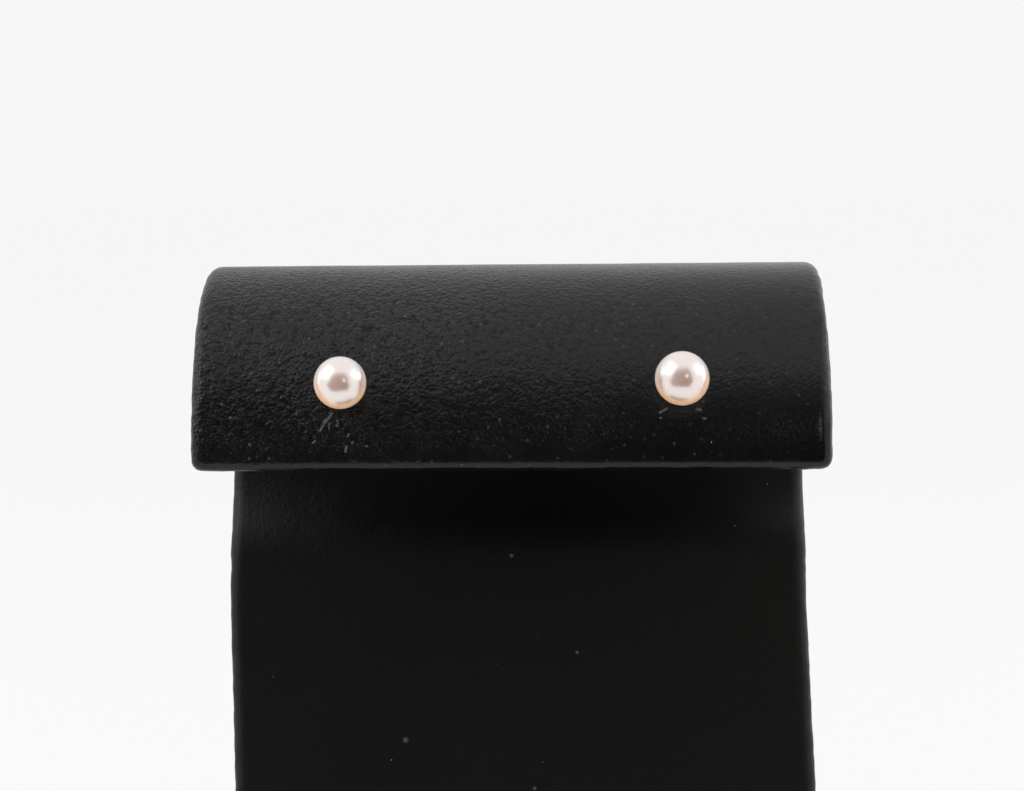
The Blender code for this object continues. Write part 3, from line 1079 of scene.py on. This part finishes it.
@dataclass
class PearlStud:
    """One stud: its pearl, its gold setting and its ear nut."""

    side: str
    x: float
    angle: float
    pearl_radius: float
    stand: StandShape
    shape: StudShape
    nacre: NacreFinish
    gold: GoldFinish
    seed: float = 0.0

    @property
    def seat(self) -> float:
        """How far the pearl's centre stands off the leather."""
        shape = self.shape
        return self.pearl_radius + shape.setting_gap + shape.cup_wall + self.stand.gap

    @property
    def placed(self) -> Matrix:
        """The stud's place: origin at the pearl's centre, +Z away from the stand."""
        centre = self.stand.at(self.angle, self.stand.outer_radius + self.seat, self.x)
        return Matrix.Translation(centre) @ Matrix.Rotation(math.radians(90 - self.angle), 4, "X")

    def build(self) -> None:
        """Builds the three pieces and lets them ride."""
        self._pearl()
        self._setting()
        self._nut()

    def _pearl(self) -> None:
        """The pearl, drilled from behind, very slightly out of round."""
        radius = self.pearl_radius
        drill = self.shape.peg_radius + self.shape.setting_gap
        depth = self.shape.peg_length + self.shape.setting_gap
        last = 180 - math.degrees(math.asin(drill / radius))
        profile = [
            (radius * sine(turn), radius * cosine(turn))
            for turn in spread(0.0, last, self.shape.pearl_step)
        ]
        profile += [(drill, depth - radius), (0.0, depth - radius)]
        name = "nacre_pearl_" + self.side
        pearl = turned_piece(name, profile, self.shape.pearl_sides, self.nacre)
        for vert in pearl.data.vertices:
            if vert.co.length > radius * 0.999:
                cell = self.shape.swell / radius
                swell = noise.noise(vert.co * cell + Vector((self.seed, 0, 0)))
                vert.co *= 1 + self.shape.out_of_round * swell
        pearl.data.transform(self.placed)
        carry(pearl, Slot.PEARL, "pearl_" + self.side)

    def _setting(self) -> None:
        """The peg, cup and post, turned in one."""
        shape = self.shape
        inner = self.pearl_radius + shape.setting_gap
        outer = inner + shape.cup_wall
        rim = math.degrees(math.asin(shape.cup_radius / outer))
        neck = math.degrees(math.asin(shape.peg_radius / inner))
        collar = math.degrees(math.asin(shape.post_radius / outer))
        tip = -outer - shape.post_length
        notch = tip + shape.notch_from_tip
        top = shape.peg_length - self.pearl_radius
        soft = shape.peg_radius * 0.3
        profile = [(0.0, top), (shape.peg_radius - soft, top), (shape.peg_radius, top - soft)]
        profile += [on_circle(inner, turn) for turn in spread(neck, rim, shape.setting_step)]
        profile += [on_circle(outer, turn) for turn in spread(rim, collar, shape.setting_step)]
        profile += [
            (shape.post_radius, -outer - shape.post_radius * 0.6),
            (shape.post_radius, notch + shape.notch_width / 2),
            (shape.post_radius - shape.notch_depth, notch),
            (shape.post_radius, notch - shape.notch_width / 2),
        ]
        profile += [
            (shape.post_radius * cosine(turn), tip + shape.post_radius * (1 - sine(turn)))
            for turn in spread(0.0, 90.0, 15.0)
        ]
        setting = turned_piece("gold_setting_" + self.side, profile, shape.setting_sides, self.gold)
        setting.data.transform(self.placed)
        carry(setting, Slot.GOLD, "stud_post_" + self.side)

    def _nut(self) -> None:
        """The ear nut: one strip of sheet with two rolled ends."""
        shape = self.shape
        hole = shape.post_radius + shape.setting_gap
        reach = hole + shape.nut_sheet / 2 + shape.scroll_radius
        half = shape.nut_width / 2
        hollow = self.stand.inner_radius - math.sqrt(self.stand.inner_radius**2 - half**2)
        face = -self.seat - self.stand.board - self.stand.gap - hollow - shape.nut_sheet / 2
        scroll = []
        for turn in spread(0.0, shape.scroll_sweep, shape.scroll_step):
            out = shape.scroll_radius * sine(turn)
            drop = shape.scroll_radius * (1 - cosine(turn))
            scroll.append(Vector((0.0, reach + out, -drop)))
        mirrored = [Vector((0.0, -point.y, point.z)) for point in reversed(scroll)]
        nut = WrappedBoard(
            "gold_ear_nut_" + self.side,
            mirrored + scroll,
            shape.nut_width,
            shape.nut_sheet,
            *(shape.nut_sheet * shape.nut_rounding,) * 3,
            fineness=0.00012,
            layers=4,
        ).build(self.gold)
        pierce(nut, hole, -shape.nut_sheet * 2, shape.nut_sheet * 2, Matrix.Identity(4))
        shade(nut, self.gold, PIERCED_SHARPNESS)
        quarter = Matrix.Rotation(math.radians(90), 4, "Z")
        nut.data.transform(self.placed @ Matrix.Translation((0, 0, face)) @ quarter)
        carry(nut, Slot.GOLD, "ear_nut_" + self.side)


def on_circle(radius: float, turn: float) -> tuple[float, float]:
    """A profile point on a circle, at an angle in degrees from straight down."""
    return radius * sine(turn), -radius * cosine(turn)


@dataclass
class Lint:
    """The few pale flecks of dust on the leather."""

    finish: LintFinish
    density: float = 6000.0
    smallest: float = 0.000018
    largest: float = 0.000042
    seed: int = 4

    def build(self, piece: bpy.types.Object) -> None:
        """Scatters flecks over a leather piece."""
        flecks = new_object("lint_flecks", piece.data.copy())
        LintTree.shared().work(flecks, self.finish, self)
        shade(flecks, self.finish, LINT_SHARPNESS)
        carry(flecks, Slot.LEATHER)


@dataclass(frozen=True)
class PhotoCamera:
    """The camera, fitted to the stand's outline in the photo.

    Attributes:
        focal_pixels: The focal length in pixels of the photo.
        distance: From the camera to the roll's axis, along the view.
        raised: How far the view's middle passes over the roll's axis.
        shifted: How far it passes to the left of the axis's middle.
        azimuth: How far the camera stands round to the right, in degrees.
        pitch: How far it looks down, in degrees.
        roll: How far the picture is turned, in degrees.
    """

    focal_pixels: float = 2777.2
    distance: float = 0.27668
    raised: float = 0.00494
    shifted: float = 0.000195
    azimuth: float = 1.136
    pitch: float = 5.0
    roll: float = 0.528

    def axes(self) -> tuple[Vector, Vector, Vector]:
        """The camera's right, up and forward before it is rolled."""
        right = Vector((cosine(self.azimuth), sine(self.azimuth), 0.0))
        level = Vector((-right.y, right.x, 0.0)) * cosine(self.pitch)
        forward = level - Vector((0.0, 0.0, sine(self.pitch)))
        return right, right.cross(forward), forward

    def build(self, axis_point: Vector) -> None:
        """Makes the scene's camera, which looks at the middle of the roll's axis."""
        right, up, forward = self.axes()
        rolled_right = right * cosine(self.roll) - up * sine(self.roll)
        rolled_up = up * cosine(self.roll) + right * sine(self.roll)
        place = axis_point - right * self.shifted + up * self.raised - forward * self.distance
        data = bpy.data.cameras.new("photo_camera")
        data.sensor_width = 36.0
        data.lens = self.focal_pixels * data.sensor_width / IMAGE_WIDTH
        data.clip_start = 0.01
        data.clip_end = 50.0
        camera = new_object("photo_camera", data)
        turned = Matrix((rolled_right, rolled_up, -forward)).transposed().to_4x4()
        camera.matrix_world = Matrix.Translation(place) @ turned
        bpy.context.scene.camera = camera


@dataclass(frozen=True)
class Softbox:
    """A soft lamp, placed by its direction from the pearls.

    Attributes:
        direction: Right, up and towards the camera, as the camera sees them.
    """

    name: str
    direction: tuple[float, float, float]
    distance: float
    size: tuple[float, float]
    power: float
    colour: tuple[float, float, float] = (1.0, 1.0, 1.0)

    def build(self, target: Vector, axes: tuple[Vector, Vector, Vector]) -> None:
        """Hangs the lamp, facing the pearls."""
        right, up, forward = axes
        across, above, towards = self.direction
        way = (right * across + up * above - forward * towards).normalized()
        data = bpy.data.lights.new(self.name, "AREA")
        data.shape = "RECTANGLE"
        data.size, data.size_y = self.size
        data.energy = self.power
        data.color = self.colour
        lamp = new_object(self.name, data)
        lamp.location = target + way * self.distance
        lamp.rotation_euler = way.to_track_quat("Z", "Y").to_euler()
        lamp.visible_camera = False


@dataclass(frozen=True)
class Studio:
    """The white tent round the stand: its table, its lamps and its dark mouth."""

    camera: PhotoCamera
    target: Vector
    daylight: float = 0.93
    floor_size: float = 12.0
    mouth_distance: float = 0.55
    mouth_clearance: float = 0.002
    mouth_columns: int = 24
    mouth_levels: tuple[tuple[float, float, float], ...] = (
        (-0.31, -0.31, 0.27),
        (-0.22, -0.40, 0.33),
        (-0.10, -0.46, 0.36),
        (0.10, -0.36, 0.32),
        (0.37, -0.20, 0.22),
    )
    lamps: tuple[Softbox, ...] = (
        Softbox("left_softbox", (-0.75, 0.60, 0.27), 0.60, (0.58, 0.52), 0.66),
        Softbox("left_lamp_head", (-0.75, 0.60, 0.27), 0.59, (0.08, 0.08), 0.17),
        Softbox("right_softbox", (0.87, 0.46, 0.15), 0.60, (0.42, 0.38), 0.30),
        Softbox("left_side_cloth", (-0.93, 0.05, -0.36), 0.60, (0.25, 0.50), 0.22),
        Softbox("right_side_cloth", (0.93, 0.05, -0.36), 0.60, (0.25, 0.50), 0.6),
        Softbox("warm_lamp", (0.31, 0.16, 0.92), 0.45, (0.04, 0.06), 0.045, (1.0, 0.86, 0.68)),
    )

    def build(self) -> None:
        """Builds the tent."""
        self._world()
        self._floor()
        self._mouth()
        for lamp in self.lamps:
            lamp.build(self.target, self.camera.axes())
        bpy.context.scene.view_settings.view_transform = "Standard"

    def _world(self) -> None:
        """The even white of the tent's cloth."""
        world = bpy.data.worlds.new("tent")
        world.use_nodes = True
        background = world.node_tree.nodes["Background"]
        background.inputs["Color"].default_value = WHITE
        background.inputs["Strength"].default_value = self.daylight
        bpy.context.scene.world = world

    def _floor(self) -> None:
        """The pale table that the stand rests on."""
        bm = bmesh.new()
        bmesh.ops.create_grid(bm, x_segments=24, y_segments=24, size=self.floor_size / 2)
        floor = new_body("pale_floor", bm)
        floor.data.materials.append(LightTableFinish().material())

    def _mouth(self) -> None:
        """The dark mouth of the tent round the camera, which is only mirrored.

        It reaches down to the table and lies on it in front of the stand.
        """
        right, up, forward = self.camera.axes()
        points = []
        for height, left, reach in self._mouth_rows():
            for share in spread(0.0, 1.0, 1 / self.mouth_columns):
                way = mirrored_way(left + (reach - left) * share, height)
                aim = right * way[0] + up * way[1] - forward * way[2]
                reach_down = (self.target.z - self.mouth_clearance) / max(-aim.z, TINY)
                points.append(self.target + aim * min(self.mouth_distance, reach_down))
        across = self.mouth_columns + 1
        faces = [
            (corner, corner + 1, corner + across + 1, corner + across)
            for row in range(len(points) // across - 1)
            for corner in range(row * across, row * across + self.mouth_columns)
        ]
        mesh = bpy.data.meshes.new("tent_mouth")
        mesh.from_pydata([tuple(point) for point in points], [], faces)
        mouth = new_object("tent_mouth", mesh)
        mouth.data.materials.append(DarkRoomFinish().material())
        mouth.visible_camera = False
        mouth.visible_shadow = False
        mouth.visible_diffuse = False

    def _mouth_rows(self) -> list[list[float]]:
        """The mouth's levels with further rows between them."""
        rows = [list(self.mouth_levels[0])]
        for low, high in zip(self.mouth_levels, self.mouth_levels[1:]):
            rows += [between(low, high, share) for share in spread(0.0, 1.0, 0.25)[1:]]
        return rows


def between(low: Sequence[float], high: Sequence[float], share: float) -> list[float]:
    """The values that lie by a share between two rows of values."""
    return [a + (b - a) * share for a, b in zip(low, high)]


def mirrored_way(side: float, height: float) -> tuple[float, float, float]:
    """Where a round mirror shows things from.

    Args:
        side: The place on the mirror's disc to the right, as a share of its radius.
        height: The place on it upwards, as a share of its radius.

    Returns:
        The direction that is mirrored there: right, up and towards the camera.
    """
    facing = math.sqrt(max(0.0, 1 - side**2 - height**2))
    return 2 * facing * side, 2 * facing * height, 2 * facing**2 - 1


def main() -> None:
    """Builds the studs, the stand, the dust and the studio in order."""
    logging.basicConfig(level=logging.INFO, format="%(name)s: %(message)s")
    stand_shape = StandShape()
    stud_shape = StudShape()
    nacre = NacreFinish()
    gold = GoldFinish()
    studs = [
        PearlStud("left", -0.0157, 22.1, 0.002435, stand_shape, stud_shape, nacre, gold, 3.0),
        PearlStud("right", 0.0159, 22.5, 0.002515, stand_shape, stud_shape, nacre, gold, 8.0),
    ]
    nicks = tuple(
        Nick(*(stand_shape.at(angle, stand_shape.outer_radius, x) for x, angle in ends), width)
        for *ends, width in NICKS
    )
    dust = tuple(Nick(*[stand_shape.on_upright(x, height)] * 2, width) for x, height, width in DUST)
    leather = LeatherFinish(nicks=nicks + dust)
    plain_leather = LeatherFinish(name="black_plain_leather", depth=0.00005)
    holes = [(stud.placed, stud.seat) for stud in studs]
    stand = DisplayStand(stand_shape, leather, plain_leather, holes)
    strip = stand.build()
    for stud in studs:
        stud.build()
    Lint(LintFinish()).build(strip)
    camera = PhotoCamera()
    camera.build(stand_shape.at(0.0, 0.0))
    middle = sum((stud.placed.translation for stud in studs), Vector()) / len(studs)
    Studio(camera, middle).build()


if __name__ == "__main__":
    main()
